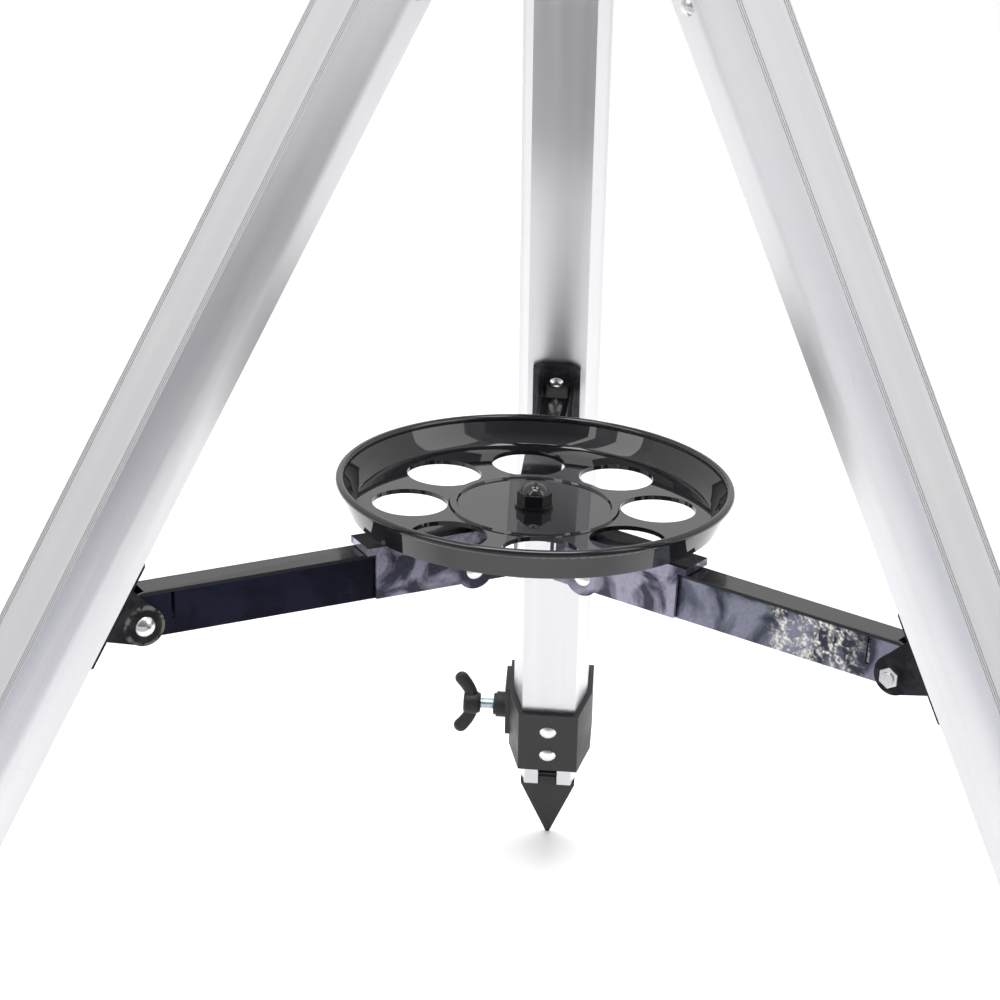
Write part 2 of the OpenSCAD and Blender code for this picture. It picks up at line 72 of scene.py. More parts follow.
tray_low, tray_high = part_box("tray")
rim_centre = Vector(((tray_low.x + tray_high.x) / 2, (tray_low.y + tray_high.y) / 2, tray_high.z))
back_off = Vector((
    sin(CAMERA_SIDE_ANGLE) * cos(CAMERA_HEIGHT_ANGLE),
    -cos(CAMERA_SIDE_ANGLE) * cos(CAMERA_HEIGHT_ANGLE),
    sin(CAMERA_HEIGHT_ANGLE),
))
camera = bpy.data.objects.new("camera", bpy.data.cameras.new("camera"))
camera.data.lens = 136.6
camera.data.sensor_width = 36
turn = Matrix.Rotation(LOOK_LEFT, 4, "Z") @ Matrix.Rotation(pi / 2 - LOOK_DOWN, 4, "X")
camera.matrix_world = (
    Matrix.Translation(rim_centre + CAMERA_DISTANCE * back_off) @ turn @ Matrix.Rotation(ROLL, 4, "Z")
)
bpy.context.scene.collection.objects.link(camera)
bpy.context.scene.camera = camera
print("camera at", [round(value, 4) for value in camera.matrix_world.translation])

# %% [markdown]
# Gloss black shows only what it reflects, so the studio matters as much as the paint. The room is white and
# gets brighter from the horizon upwards, which puts a grey sheen on upward faces. It is dark behind the
# camera, so the walls of the tray that face the camera stay black. Two cards that only
# reflections can see, a navy one at the right and a lavender one on the floor in front, tint the sides; that
# is how a studio puts an edge on a black product.

# %% Studio
def flat_material(name, colour, roughness):
    """A plain material for the floor and the cards."""
    material = bpy.data.materials.new(name)
    material.use_nodes = True
    shader = material.node_tree.nodes["Principled BSDF"]
    shader.inputs["Base Color"].default_value = (*colour, 1)
    shader.inputs["Roughness"].default_value = roughness
    return material


def card(name, centre, half_u, half_v, material):
    """A flat rectangle: its centre plus and minus two half-edge vectors."""
    centre, half_u, half_v = Vector(centre), Vector(half_u), Vector(half_v)
    corners = [centre + a * half_u + b * half_v for a, b in ((-1, -1), (1, -1), (1, 1), (-1, 1))]
    mesh = bpy.data.meshes.new(name)
    mesh.from_pydata([tuple(corner) for corner in corners], [], [(0, 1, 2, 3)])
    mesh.materials.append(material)
    made = bpy.data.objects.new(name, mesh)
    bpy.context.scene.collection.objects.link(made)
    return made


def only_reflected(made):
    """Shows a card in reflections and nowhere else."""
    made.visible_camera = False
    made.visible_diffuse = False
    made.visible_shadow = False
    return made


floor_white = flat_material("floor_white", (0.93, 0.93, 0.935), 0.75)
card_navy = flat_material("card_navy", (0.006, 0.007, 0.022), 0.9)
card_lavender = flat_material("card_lavender", (0.36, 0.36, 0.41), 0.9)

card("floor", (0, 0, 0), (6, 0, 0), (0, 6, 0), floor_white)
only_reflected(card("card_right", (0.62, -0.42, 0.12), (0.16, 0.30, 0), (0, 0, 0.13), card_navy))
only_reflected(card("card_front", (0, -0.99, 0.002), (1.2, 0, 0), (0, 0.61, 0), card_lavender))

world = bpy.data.worlds.new("studio")
world.use_nodes = True
sky = world.node_tree
direction = sky.nodes.new("ShaderNodeTexCoord")
parts_of_direction = sky.nodes.new("ShaderNodeSeparateXYZ")
rise = sky.nodes.new("ShaderNodeMapRange")
rise.inputs["From Max"].default_value = sin(radians(17))
rise.inputs["To Min"].default_value = 0.62
rise.inputs["To Max"].default_value = 1.0
sky.links.new(direction.outputs["Generated"], parts_of_direction.inputs[0])
sky.links.new(parts_of_direction.outputs["Z"], rise.inputs["Value"])
behind_camera = sky.nodes.new("ShaderNodeMapRange")
behind_camera.inputs["From Min"].default_value = -0.75
behind_camera.inputs["From Max"].default_value = -0.15
behind_camera.inputs["To Min"].default_value = 0.25
sky.links.new(parts_of_direction.outputs["Y"], behind_camera.inputs["Value"])
strength = sky.nodes.new("ShaderNodeMath")
strength.operation = "MULTIPLY"
sky.links.new(rise.outputs["Result"], strength.inputs[0])
sky.links.new(behind_camera.outputs["Result"], strength.inputs[1])
sky.links.new(strength.outputs[0], sky.nodes["Background"].inputs["Strength"])
sky.nodes["Background"].inputs["Color"].default_value = (1.0, 1.0, 1.0, 1)
bpy.context.scene.world = world
bpy.context.scene.view_settings.view_transform = "Standard"


def softbox(name, place, target, size, power):
    """A square area light at place, facing target."""
    light = bpy.data.lights.new(name, "AREA")
    light.shape = "SQUARE"
    light.size = size
    light.energy = power
    made = bpy.data.objects.new(name, light)
    made.location = place
    made.rotation_euler = (Vector(target) - Vector(place)).to_track_quat("-Z", "Y").to_euler()
    bpy.context.scene.collection.objects.link(made)
    return made


softbox("key", (-1.6, -1.2, 2.4), (0, 0, 0.3), 1.6, 22)
softbox("fill", (1.9, -0.6, 1.9), (0, 0, 0.3), 1.4, 12)
softbox("overhead", (0, -0.2, 2.8), (0, -0.19, 0), 1.6, 50)
print("studio ready")

# %% [markdown]
# Several finishes share the same small faults: fine grain, long draw lines, scuffs and blotches. Each is a
# node group, built once and placed in a material with its own values. A group gives out masks and heights,
# and the material keeps its own shader, so that both stay easy to read.

# %% Node group helpers
def new_group(name, inputs, outputs):
    """An empty shader group with named float or vector inputs and float outputs."""
    tree = bpy.data.node_groups.new(name, "ShaderNodeTree")
    for label, kind, value in inputs:
        socket = tree.interface.new_socket(label, in_out="INPUT", socket_type=kind)
        if value is not None:
            socket.default_value = value
    for label in outputs:
        tree.interface.new_socket(label, in_out="OUTPUT", socket_type="NodeSocketFloat")
    return tree, tree.nodes.new("NodeGroupInput"), tree.nodes.new("NodeGroupOutput")


def noise(tree, vector, scale, detail=3.0, distortion=0.0):
    """A noise texture on vector, whose scale is a number or a socket."""
    node = tree.nodes.new("ShaderNodeTexNoise")
    node.inputs["Detail"].default_value = detail
    node.inputs["Distortion"].default_value = distortion
    tree.links.new(vector, node.inputs["Vector"])
    if isinstance(scale, (int, float)):
        node.inputs["Scale"].default_value = scale
    else:
        tree.links.new(scale, node.inputs["Scale"])
    return node.outputs["Fac"]


def remap(tree, value, from_low, from_high, to_low=0.0, to_high=1.0):
    """A clamped straight-line map of value from one range to another."""
    node = tree.nodes.new("ShaderNodeMapRange")
    for label, number in zip(("From Min", "From Max", "To Min", "To Max"),
                             (from_low, from_high, to_low, to_high)):
        node.inputs[label].default_value = number
    tree.links.new(value, node.inputs["Value"])
    return node.outputs["Result"]


def math(tree, operation, a, b):
    """One arithmetic node; a and b are numbers or sockets."""
    node = tree.nodes.new("ShaderNodeMath")
    node.operation = operation
    for socket, value in zip(node.inputs, (a, b)):
        if isinstance(value, (int, float)):
            socket.default_value = value
        else:
            tree.links.new(value, socket)
    return node.outputs[0]


# %% [markdown]
# Each fault starts from plain noise. Squeezing the noise along one direction makes lines, keeping only the
# values near its middle makes scratches, and cutting it off sharply makes islands.

# %% Grain, draw lines, scuffs and blotches
VECTOR = "NodeSocketVector"
FLOAT = "NodeSocketFloat"


def grain_group():
    """Fine pits and bumps: one fine noise, and a coarser one that varies how strong it is."""
    tree, start, end = new_group("grain", [("Vector", VECTOR, None), ("Scale", FLOAT, 900.0)],
                                 ["Height", "Patch"])
    fine = noise(tree, start.outputs["Vector"], start.outputs["Scale"], 4.0)
    broad = noise(tree, start.outputs["Vector"], 28.0, 2.0)
    strength = remap(tree, broad, 0.3, 0.7, 0.6, 1.0)
    tree.links.new(math(tree, "MULTIPLY", fine, strength), end.inputs["Height"])
    tree.links.new(remap(tree, broad, 0.35, 0.65), end.inputs["Patch"])
    return tree


def draw_line_group():
    """Lines left by the die: noise squeezed along the piece's z, so that each blob becomes a streak."""
    tree, start, end = new_group("draw_lines", [("Vector", VECTOR, None), ("Scale", FLOAT, 1.0)],
                                 ["Lines", "Shade"])
    squeeze = tree.nodes.new("ShaderNodeVectorMath")
    squeeze.operation = "MULTIPLY"
    squeeze.inputs[1].default_value = (1.0, 1.0, 0.012)
    tree.links.new(start.outputs["Vector"], squeeze.inputs[0])
    fine = noise(tree, squeeze.outputs[0], 1500.0, 3.0)
    wide = noise(tree, squeeze.outputs[0], 170.0, 2.0)
    tree.links.new(math(tree, "MULTIPLY", fine, start.outputs["Scale"]), end.inputs["Lines"])
    tree.links.new(remap(tree, wide, 0.3, 0.7), end.inputs["Shade"])
    return tree


def scuff_group():
    """Thin scratches: where two stretched noises meet at their middle value, a fine line is left."""
    tree, start, end = new_group("scuffs", [("Vector", VECTOR, None), ("Scale", FLOAT, 60.0)], ["Mask"])
    lines = noise(tree, start.outputs["Vector"], start.outputs["Scale"], 1.0, 1.6)
    ridge = math(tree, "ABSOLUTE", math(tree, "SUBTRACT", lines, 0.5), 0.0)
    thin = remap(tree, ridge, 0.0, 0.006, 1.0, 0.0)
    where = remap(tree, noise(tree, start.outputs["Vector"], 22.0, 2.0), 0.52, 0.66)
    tree.links.new(math(tree, "MULTIPLY", thin, where), end.inputs["Mask"])
    return tree


def blotch_group():
    """Soft-edged islands with broken borders, from a warped noise cut off sharply."""
    tree, start, end = new_group("blotches", [("Vector", VECTOR, None), ("Scale", FLOAT, 120.0)],
                                 ["Mask", "Broken"])
    islands = noise(tree, start.outputs["Vector"], start.outputs["Scale"], 5.0, 0.8)
    specks = noise(tree, start.outputs["Vector"], 700.0, 4.0)
    tree.links.new(remap(tree, islands, 0.44, 0.56), end.inputs["Mask"])
    tree.links.new(remap(tree, specks, 0.42, 0.58), end.inputs["Broken"])
    return tree


GRAIN, DRAW_LINES, SCUFFS, BLOTCHES = grain_group(), draw_line_group(), scuff_group(), blotch_group()
print("groups:", [tree.name for tree in bpy.data.node_groups])

# %% [markdown]
# A finish starts as a Principled shader whose steady values sit on its own sockets. Whatever varies over the
# surface, such as colour, roughness and height, comes through nodes that read Object coordinates. Every
# piece's object stays at the origin, so those coordinates are the tripod's own frame.

# %% Material helpers
def new_finish(name, **steady):
    """A node material, its tree, its shader and Object coordinates; steady sets shader sockets."""
    material = bpy.data.materials.new(name)
    material.use_nodes = True
    tree = material.node_tree
    shader = tree.nodes["Principled BSDF"]
    for label, value in steady.items():
        shader.inputs[label.replace("_", " ")].default_value = value
    place = tree.nodes.new("ShaderNodeTexCoord").outputs["Object"]
    return material, tree, shader, place


def use(tree, group, vector, scale):
    """Places a group and returns its outputs."""
    node = tree.nodes.new("ShaderNodeGroup")
    node.node_tree = group
    node.inputs["Scale"].default_value = scale
    tree.links.new(vector, node.inputs["Vector"])
    return node.outputs


def mix_colour(tree, share, first, second):
    """Blends two colours, each a triple or a socket, by a share."""
    node = tree.nodes.new("ShaderNodeMix")
    node.data_type = "RGBA"
    tree.links.new(share, node.inputs["Factor"])
    for label, colour in (("A", first), ("B", second)):
        socket = [s for s in node.inputs if s.name == label and s.type == "RGBA"][0]
        if isinstance(colour, tuple):
            socket.default_value = (*colour, 1)
        else:
            tree.links.new(colour, socket)
    return [s for s in node.outputs if s.type == "RGBA"][0]


def bump(tree, shader, height, distance, strength=1.0):
    """Turns a height into the shader's normal; distance is in metres."""
    node = tree.nodes.new("ShaderNodeBump")
    node.inputs["Distance"].default_value = distance
    node.inputs["Strength"].default_value = strength
    tree.links.new(height, node.inputs["Height"])
    tree.links.new(node.outputs["Normal"], shader.inputs["Normal"])


def turned(tree, vector, euler):
    """Object coordinates turned so that a pattern can follow a leaning piece."""
    node = tree.nodes.new("ShaderNodeMapping")
    node.inputs["Rotation"].default_value = euler
    tree.links.new(vector, node.inputs["Vector"])
    return node.outputs["Vector"]


print("material helpers ready")

# %% [markdown]
# The legs are satin anodised aluminium. Drawing the extrusion leaves faint lines along the leg, so each leg
# needs its own turned coordinates: one turn about the vertical to face the leg, and one to lay it upright.

# %% Leg aluminium
def leg_turn(side):
    """The turn that carries a leg's own direction on to -z, read from its extension joint's axis."""
    axis = Vector(joints[f"leg_extend_{side}"]["axis"])
    azimuth = atan2(axis.y, axis.x)
    lean = atan2(Vector((axis.x, axis.y)).length, -axis.z)
    return (Matrix.Rotation(lean, 3, "Y") @ Matrix.Rotation(-azimuth, 3, "Z")).to_euler(), degrees(lean)


def leg_aluminium(side):
    """Satin anodised extrusion with draw lines that follow this leg."""
    euler, lean = leg_turn(side)
    material, tree, shader, place = new_finish(f"leg_aluminium_{side}", Metallic=0.92)
    along = turned(tree, place, euler)
    lines = use(tree, DRAW_LINES, along, 1.0)
    grain = use(tree, GRAIN, place, 1600.0)
    scuffs = use(tree, SCUFFS, along, 45.0)
    silver = mix_colour(tree, lines["Shade"], (0.685, 0.685, 0.70), (0.735, 0.735, 0.745))
    silver = mix_colour(tree, math(tree, "MULTIPLY", grain["Patch"], 0.35), silver, (0.69, 0.68, 0.715))
    silver = mix_colour(tree, math(tree, "MULTIPLY", scuffs["Mask"], 0.25), silver, (0.50, 0.50, 0.52))
    tree.links.new(silver, shader.inputs["Base Color"])
    tree.links.new(remap(tree, lines["Shade"], 0.0, 1.0, 0.31, 0.35), shader.inputs["Roughness"])
    height = math(tree, "ADD", lines["Lines"], math(tree, "MULTIPLY", grain["Height"], 0.4))
    bump(tree, shader, height, 0.00006, 0.5)
    print(f"{material.name}: leg leans {lean:.1f} degrees")
    return material


LEG_ALUMINIUM = {side: leg_aluminium(side) for side in SIDES}

# %% [markdown]
# The arms, hub and brackets are sheet steel under gloss black. Their tops are plain paint. Their sides carry
# painted reflections instead of reflected light: one arm's are a painted navy reflection with a golden patch,
# another's are a painted lilac-grey sheen with a pale patch near the leg, and the hub's are a painted lilac sheen
# with dark streaks. A mask made from the surface normal tells sides from tops.

# %% Painted side reflections, side patches, painted rim highlight and gloss paint
def leg_outward(side):
    """The level direction in which this side's leg and arm point."""
    axis = Vector(joints[f"leg_extend_{side}"]["axis"])
    return Vector((axis.x, axis.y, 0)).normalized()


def dot_with(tree, vector, direction):
    """How far vector reaches along a fixed direction."""
    node = tree.nodes.new("ShaderNodeVectorMath")
    node.operation = "DOT_PRODUCT"
    node.inputs[1].default_value = direction
    tree.links.new(vector, node.inputs[0])
    return node.outputs["Value"]


def node_points(node):
    """A node's vertices as an array."""
    flat = np.empty(len(nodes[node].data.vertices) * 3)
    nodes[node].data.vertices.foreach_get("co", flat)
    return flat.reshape(-1, 3)


def upright_mask(tree, low=0.35, high=0.7):
    """1 on upright faces and 0 on level ones: the normal's height, made positive and turned over."""
    normal = tree.nodes.new("ShaderNodeTexCoord").outputs["Normal"]
    height = math(tree, "ABSOLUTE", dot_with(tree, normal, (0, 0, 1)), 0.0)
    return remap(tree, height, low, high, 1.0, 0.0)


def side_patch(tree, place, side, near, far):
    """A broken patch between two distances from the tripod's axis, along this side's arm."""
    radius = dot_with(tree, place, leg_outward(side))
    inside = math(tree, "MULTIPLY", remap(tree, radius, near, near + 0.006),
                  remap(tree, radius, far - 0.014, far, 1.0, 0.0))
    marks = use(tree, BLOTCHES, place, 210.0)
    broken = math(tree, "MULTIPLY", marks["Mask"], remap(tree, marks["Broken"], 0.0, 1.0, 0.3, 1.0))
    return math(tree, "MULTIPLY", inside, broken)


# Distances from the bolt that mark off the arm's two ends
LEG_END_STRETCH = 0.03
HUB_END_STRETCH = 0.12


def under_edge(tree, place, side, drop=1.3):
    """0 in a narrow band below an arm's top, where the black of the top runs over the corner, and 1 below, where
    the painted side reflection goes.
    """
    bolt = np.array(joints[f"arm_fold_{side}"]["pos_m"])
    outward = np.array(leg_outward(side))
    points = node_points(f"spreader_arm_{side}")
    along = points @ outward
    far = points[along > bolt @ outward - LEG_END_STRETCH]
    near = points[along < bolt @ outward - HUB_END_STRETCH]
    run = far @ outward
    slope = (near[:, 2].max() - far[:, 2].max()) / (run.mean() - (near @ outward).max())
    up = outward * slope + np.array([0, 0, 1.0])
    up /= np.linalg.norm(up)
    top = (points @ up).max()
    height = dot_with(tree, place, Vector(up))
    return remap(tree, height, top - (drop + 0.5) * MM, top - drop * MM, 1.0, 0.0)


def ear_rim_painted_highlight(tree, place, side):
    """A broken ring round the bolt of a bracket, at the rim of its ears, where a painted highlight stands in for
    light catching the rounded rim.
    """
    joint = joints[f"arm_fold_{side}"]
    away = tree.nodes.new("ShaderNodeVectorMath")
    away.operation = "SUBTRACT"
    away.inputs[1].default_value = joint["pos_m"]
    tree.links.new(place, away.inputs[0])
    cross = tree.nodes.new("ShaderNodeVectorMath")
    cross.operation = "CROSS_PRODUCT"
    cross.inputs[1].default_value = joint["axis"]
    tree.links.new(away.outputs[0], cross.inputs[0])
    length = tree.nodes.new("ShaderNodeVectorMath")
    length.operation = "LENGTH"
    tree.links.new(cross.outputs[0], length.inputs[0])
    radius = length.outputs["Value"]
    inner_side = remap(tree, radius, 6.9 * MM, 7.8 * MM)
    outer_side = remap(tree, radius, 8.8 * MM, 9.6 * MM, 1.0, 0.0)
    ring = math(tree, "MULTIPLY", inner_side, outer_side)
    return math(tree, "MULTIPLY", ring, use(tree, BLOTCHES, place, 230.0)["Mask"])


def gloss_with_painted_sheen(name, sheen_dark, sheen_light, sheen_metal, streak=36.0, patch=None, edge=None, ring=None):
    """Gloss black on level faces; on upright ones a painted reflection, a tint that drifts, with a patch and a
    painted rim highlight if asked for.
    """
    material, tree, shader, place = new_finish(name)
    upright = upright_mask(tree)
    if edge is not None:
        upright = math(tree, "MULTIPLY", upright, under_edge(tree, place, edge))
    sheen_drift = use(tree, BLOTCHES, place, streak)
    scuffs = use(tree, SCUFFS, place, 90.0)
    # Painted reflection: upright faces take a tint that drifts between a dark and a light colour, in place of the
    # room they would reflect.
    tint = mix_colour(tree, sheen_drift["Mask"], sheen_dark, sheen_light)
    colour = mix_colour(tree, upright, (0.008, 0.008, 0.010), tint)
    colour = mix_colour(tree, math(tree, "MULTIPLY", scuffs["Mask"], 0.3), colour, (0.16, 0.16, 0.17))
    rough = remap(tree, sheen_drift["Broken"], 0.0, 1.0, 0.12, 0.20)
    # A broken patch on the upright faces, golden on the left arm and pale on the right, which also raises the
    # roughness.
    if patch is not None:
        side, near, far, share, patch_colour = patch
        patchy = math(tree, "MULTIPLY", side_patch(tree, place, side, near, far), share)
        patchy = math(tree, "MULTIPLY", patchy, upright)
        colour = mix_colour(tree, patchy, colour, patch_colour)
        rough = math(tree, "ADD", rough, math(tree, "MULTIPLY", patchy, 0.25))
    # Painted highlight: a golden ring where light would catch the rounded rim of the ear.
    if ring is not None:
        rim_highlight = math(tree, "MULTIPLY", ear_rim_painted_highlight(tree, place, ring), 0.3)
        colour = mix_colour(tree, rim_highlight, colour, (0.46, 0.43, 0.34))
    tree.links.new(colour, shader.inputs["Base Color"])
    tree.links.new(math(tree, "MULTIPLY", upright, sheen_metal), shader.inputs["Metallic"])
    tree.links.new(remap(tree, upright, 0.0, 1.0, 0.5, 0.15), shader.inputs["Specular IOR Level"])
    tree.links.new(rough, shader.inputs["Roughness"])
    grain = use(tree, GRAIN, place, 500.0)
    bump(tree, shader, grain["Height"], 0.00002, 0.4)
    return material


# Painted reflections on the arms' sides: navy on the left, a lilac-grey sheen on the right, and a dark sheen on
# the back.
ARM_GLOSS_AND_SHEEN = {
    "left": gloss_with_painted_sheen("arm_gloss_and_sheen_left", (0.004, 0.0045, 0.012), (0.008, 0.009, 0.022), 0.0, edge="left",
                        patch=("left", 0.203, 0.226, 0.5, (0.42, 0.34, 0.16))),
    "right": gloss_with_painted_sheen("arm_gloss_and_sheen_right", (0.06, 0.065, 0.085), (0.30, 0.31, 0.37), 0.9, edge="right",
                         patch=("right", 0.120, 0.168, 1.0, (0.86, 0.84, 0.74))),
    "back": gloss_with_painted_sheen("arm_gloss_and_sheen_back", (0.012, 0.012, 0.02), (0.04, 0.04, 0.06), 0.2, edge="back"),
}
# Painted reflection on the hub's sides: lilac with dark streaks.
HUB_GLOSS_AND_SHEEN = gloss_with_painted_sheen("hub_gloss_and_sheen", (0.08, 0.08, 0.11), (0.45, 0.43, 0.52), 0.8, streak=60.0)
# Brackets: gloss black with slightly lighter near-black upright faces; the left one also gets the painted rim
# highlight.
BRACKET_PAINT = {side: gloss_with_painted_sheen(f"bracket_paint_{side}", (0.012, 0.012, 0.015), (0.026, 0.026, 0.030), 0.0,
                                   streak=110.0, ring="left" if side == "left" else None) for side in SIDES}
print("steel:", [material.name for material in (*ARM_GLOSS_AND_SHEEN.values(), HUB_GLOSS_AND_SHEEN, *BRACKET_PAINT.values())])

# %% [markdown]
# The tray is gloss black all over. On such a surface a faint long ripple, called orange peel, does more than
# colour: it bends the reflections of the room. Fine dust dulls it a little in patches.

# %% Tray, moulded and metal finishes
def tray_black():
    """Gloss black with orange peel and patches of fine dust."""
    material, tree, shader, place = new_finish("tray_black", Coat_Weight=1.0, Coat_Roughness=0.03,
                                               Coat_IOR=1.57, Specular_IOR_Level=0.0)
    grain = use(tree, GRAIN, place, 160.0)
    scuffs = use(tree, SCUFFS, place, 70.0)
    colour = mix_colour(tree, math(tree, "MULTIPLY", grain["Patch"], 0.5), (0.006, 0.006, 0.008),
                        (0.011, 0.011, 0.013))
    colour = mix_colour(tree, math(tree, "MULTIPLY", scuffs["Mask"], 0.25), colour, (0.09, 0.09, 0.10))
    tree.links.new(colour, shader.inputs["Base Color"])
    tree.links.new(remap(tree, grain["Patch"], 0.0, 1.0, 0.07, 0.15), shader.inputs["Roughness"])
    bump(tree, shader, grain["Height"], 0.00003, 0.25)
    return material


def moulded(name, dark, light, roughness, grain_scale, depth):
    """Moulded plastic or rubber: a fine spark-eroded grain, slightly polished in patches."""
    material, tree, shader, place = new_finish(name, Specular_IOR_Level=0.3)
    grain = use(tree, GRAIN, place, grain_scale)
    scuffs = use(tree, SCUFFS, place, 80.0)
    colour = mix_colour(tree, grain["Patch"], dark, light)
    colour = mix_colour(tree, math(tree, "MULTIPLY", scuffs["Mask"], 0.2), colour, (0.12, 0.12, 0.12))
    tree.links.new(colour, shader.inputs["Base Color"])
    patchy = remap(tree, grain["Patch"], 0.0, 1.0, roughness, roughness + 0.12)
    tree.links.new(patchy, shader.inputs["Roughness"])
    bump(tree, shader, grain["Height"], depth, 0.7)
    return material


def bright_metal(name, first, second, roughness):
    """Plated steel with a drifting tint and faint tool marks."""
    material, tree, shader, place = new_finish(name, Metallic=1.0)
    grain = use(tree, GRAIN, place, 1100.0)
    tint = remap(tree, noise(tree, place, 190.0, 2.0), 0.35, 0.65)
    tree.links.new(mix_colour(tree, tint, first, second), shader.inputs["Base Color"])
    patchy = remap(tree, grain["Patch"], 0.0, 1.0, roughness, roughness + 0.14)
    tree.links.new(patchy, shader.inputs["Roughness"])
    bump(tree, shader, grain["Height"], 0.00003, 0.5)
    return material


TRAY_BLACK = tray_black()
NYLON = moulded("black_nylon", (0.014, 0.014, 0.016), (0.021, 0.021, 0.023), 0.42, 1300.0, 0.00007)
RUBBER = moulded("tip_rubber", (0.014, 0.014, 0.016), (0.022, 0.022, 0.024), 0.58, 700.0, 0.00010)
CAST = moulded("cast_paint", (0.018, 0.018, 0.020), (0.026, 0.026, 0.028), 0.34, 420.0, 0.00016)
STEEL = bright_metal("bright_steel", (0.72, 0.72, 0.72), (0.82, 0.81, 0.78), 0.20)
ZINC = bright_metal("zinc_steel", (0.52, 0.66, 0.74), (0.70, 0.76, 0.80), 0.24)
print("materials:", len(bpy.data.materials))

# %% [markdown]
# Each record slot names a finish. The aluminium and the arms look up their own side, because their patterns follow
# the leg or the arm that they belong to, and each arm carries its own painted side reflection. The washer under
# the tray's nut is black like the tray.

# %% Give every node its finish
FINISHES = {"black_plastic": NYLON, "tip_rubber": RUBBER, "cast_paint": CAST, "bright_steel": STEEL,
            "zinc_steel": ZINC, "tray_gloss": TRAY_BLACK}
GLOSS_BY_STEM = {"spreader_arm": ARM_GLOSS_AND_SHEEN, "brace_bracket": BRACKET_PAINT}


def finish_of(node, slot):
    """The material for one node in one record slot."""
    side = node.rsplit("_", 1)[-1]
    if node == "tray_washer":
        return TRAY_BLACK
    if slot == "leg_aluminium":
        return LEG_ALUMINIUM[side]
    if slot == "gloss_paint":
        return HUB_GLOSS_AND_SHEEN if node == "spreader_hub" else GLOSS_BY_STEM[node.rsplit("_", 1)[0]][side]
    return FINISHES[slot]


slots = {row["node"]: row["material_slot"] for row in frame["record"]["subparts"]}
for node, made in nodes.items():
    made.data.materials.clear()
    made.data.materials.append(finish_of(node, slots[node]))
print("finished", len(slots), "nodes")

# %% [markdown]
# No real edge is perfectly sharp, and a rounded one catches a thin line of light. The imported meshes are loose
# triangles, so a small node tree first joins them and sets smooth shading below a crease angle. Flat areas
# are then merged into single faces, and a Bevel rounds what is left.

# %% Rounded edges
def join_group():
    """Geometry nodes: merge the triangles, drop the old normals, and smooth every edge below an angle."""
    tree = bpy.data.node_groups.new("join_and_smooth", "GeometryNodeTree")
    tree.interface.new_socket("Geometry", in_out="INPUT", socket_type="NodeSocketGeometry")
    tree.interface.new_socket("Geometry", in_out="OUTPUT", socket_type="NodeSocketGeometry")
    start, end = tree.nodes.new("NodeGroupInput"), tree.nodes.new("NodeGroupOutput")
    merge = tree.nodes.new("GeometryNodeMergeByDistance")
    merge.inputs["Distance"].default_value = 1e-6
    drop = tree.nodes.new("GeometryNodeRemoveAttribute")
    drop.inputs["Name"].default_value = "custom_normal"
    angle = tree.nodes.new("GeometryNodeInputMeshEdgeAngle")
    below = tree.nodes.new("FunctionNodeCompare")
    below.operation = "LESS_THAN"
    below.inputs[1].default_value = radians(32)
    smooth = tree.nodes.new("GeometryNodeSetShadeSmooth")
    smooth.domain = "EDGE"
    faces = tree.nodes.new("GeometryNodeSetShadeSmooth")
    tree.links.new(start.outputs[0], merge.inputs["Geometry"])
    tree.links.new(merge.outputs[0], drop.inputs["Geometry"])
    tree.links.new(drop.outputs[0], faces.inputs["Geometry"])
    tree.links.new(faces.outputs[0], smooth.inputs["Geometry"])
    tree.links.new(angle.outputs["Unsigned Angle"], below.inputs[0])
    tree.links.new(below.outputs["Result"], smooth.inputs["Shade Smooth"])
    tree.links.new(smooth.outputs[0], end.inputs[0])
    return tree


JOIN = join_group()


def soften(node, width_mm, segments=2):
    """Rounds a node's hard edges by width_mm, with modifiers only."""
    made = nodes[node]
    join = made.modifiers.new("join", "NODES")
    join.node_group = JOIN
    flat = made.modifiers.new("merge_flats", "DECIMATE")
    flat.decimate_type = "DISSOLVE"
    flat.angle_limit = radians(0.4)
    edge = made.modifiers.new("round_edges", "BEVEL")
    edge.width = width_mm * MM
    edge.segments = segments
    edge.limit_method = "ANGLE"
    edge.angle_limit = radians(40)
    edge.harden_normals = True


EDGE_MM = {"outer_leg": 0.35, "inner_leg": 0.2, "leg_top": 0.5, "clamp_collar": 0.5, "foot_tip": 0.45,
           "brace_bracket": 0.3, "spreader_arm": 0.4, "spreader_hub": 0.35, "head_casting": 0.8,
           "mount_knob": 0.7, "tray": 0.3, "tray_nut": 0.4, "hinge_bolt": 0.3, "brace_bolt": 0.3}
softened = 0
for stem, width in EDGE_MM.items():
    for node in (stem, *(f"{stem}_{side}" for side in SIDES)):
        if node in nodes:
            soften(node, width)
            softened += 1
print("rounded", softened, "nodes")

# %% [markdown]
# Round and swept pieces are easiest to describe as rings of points. One helper closes any stack of rings into
# a solid, so that each piece only has to say where its rings are.

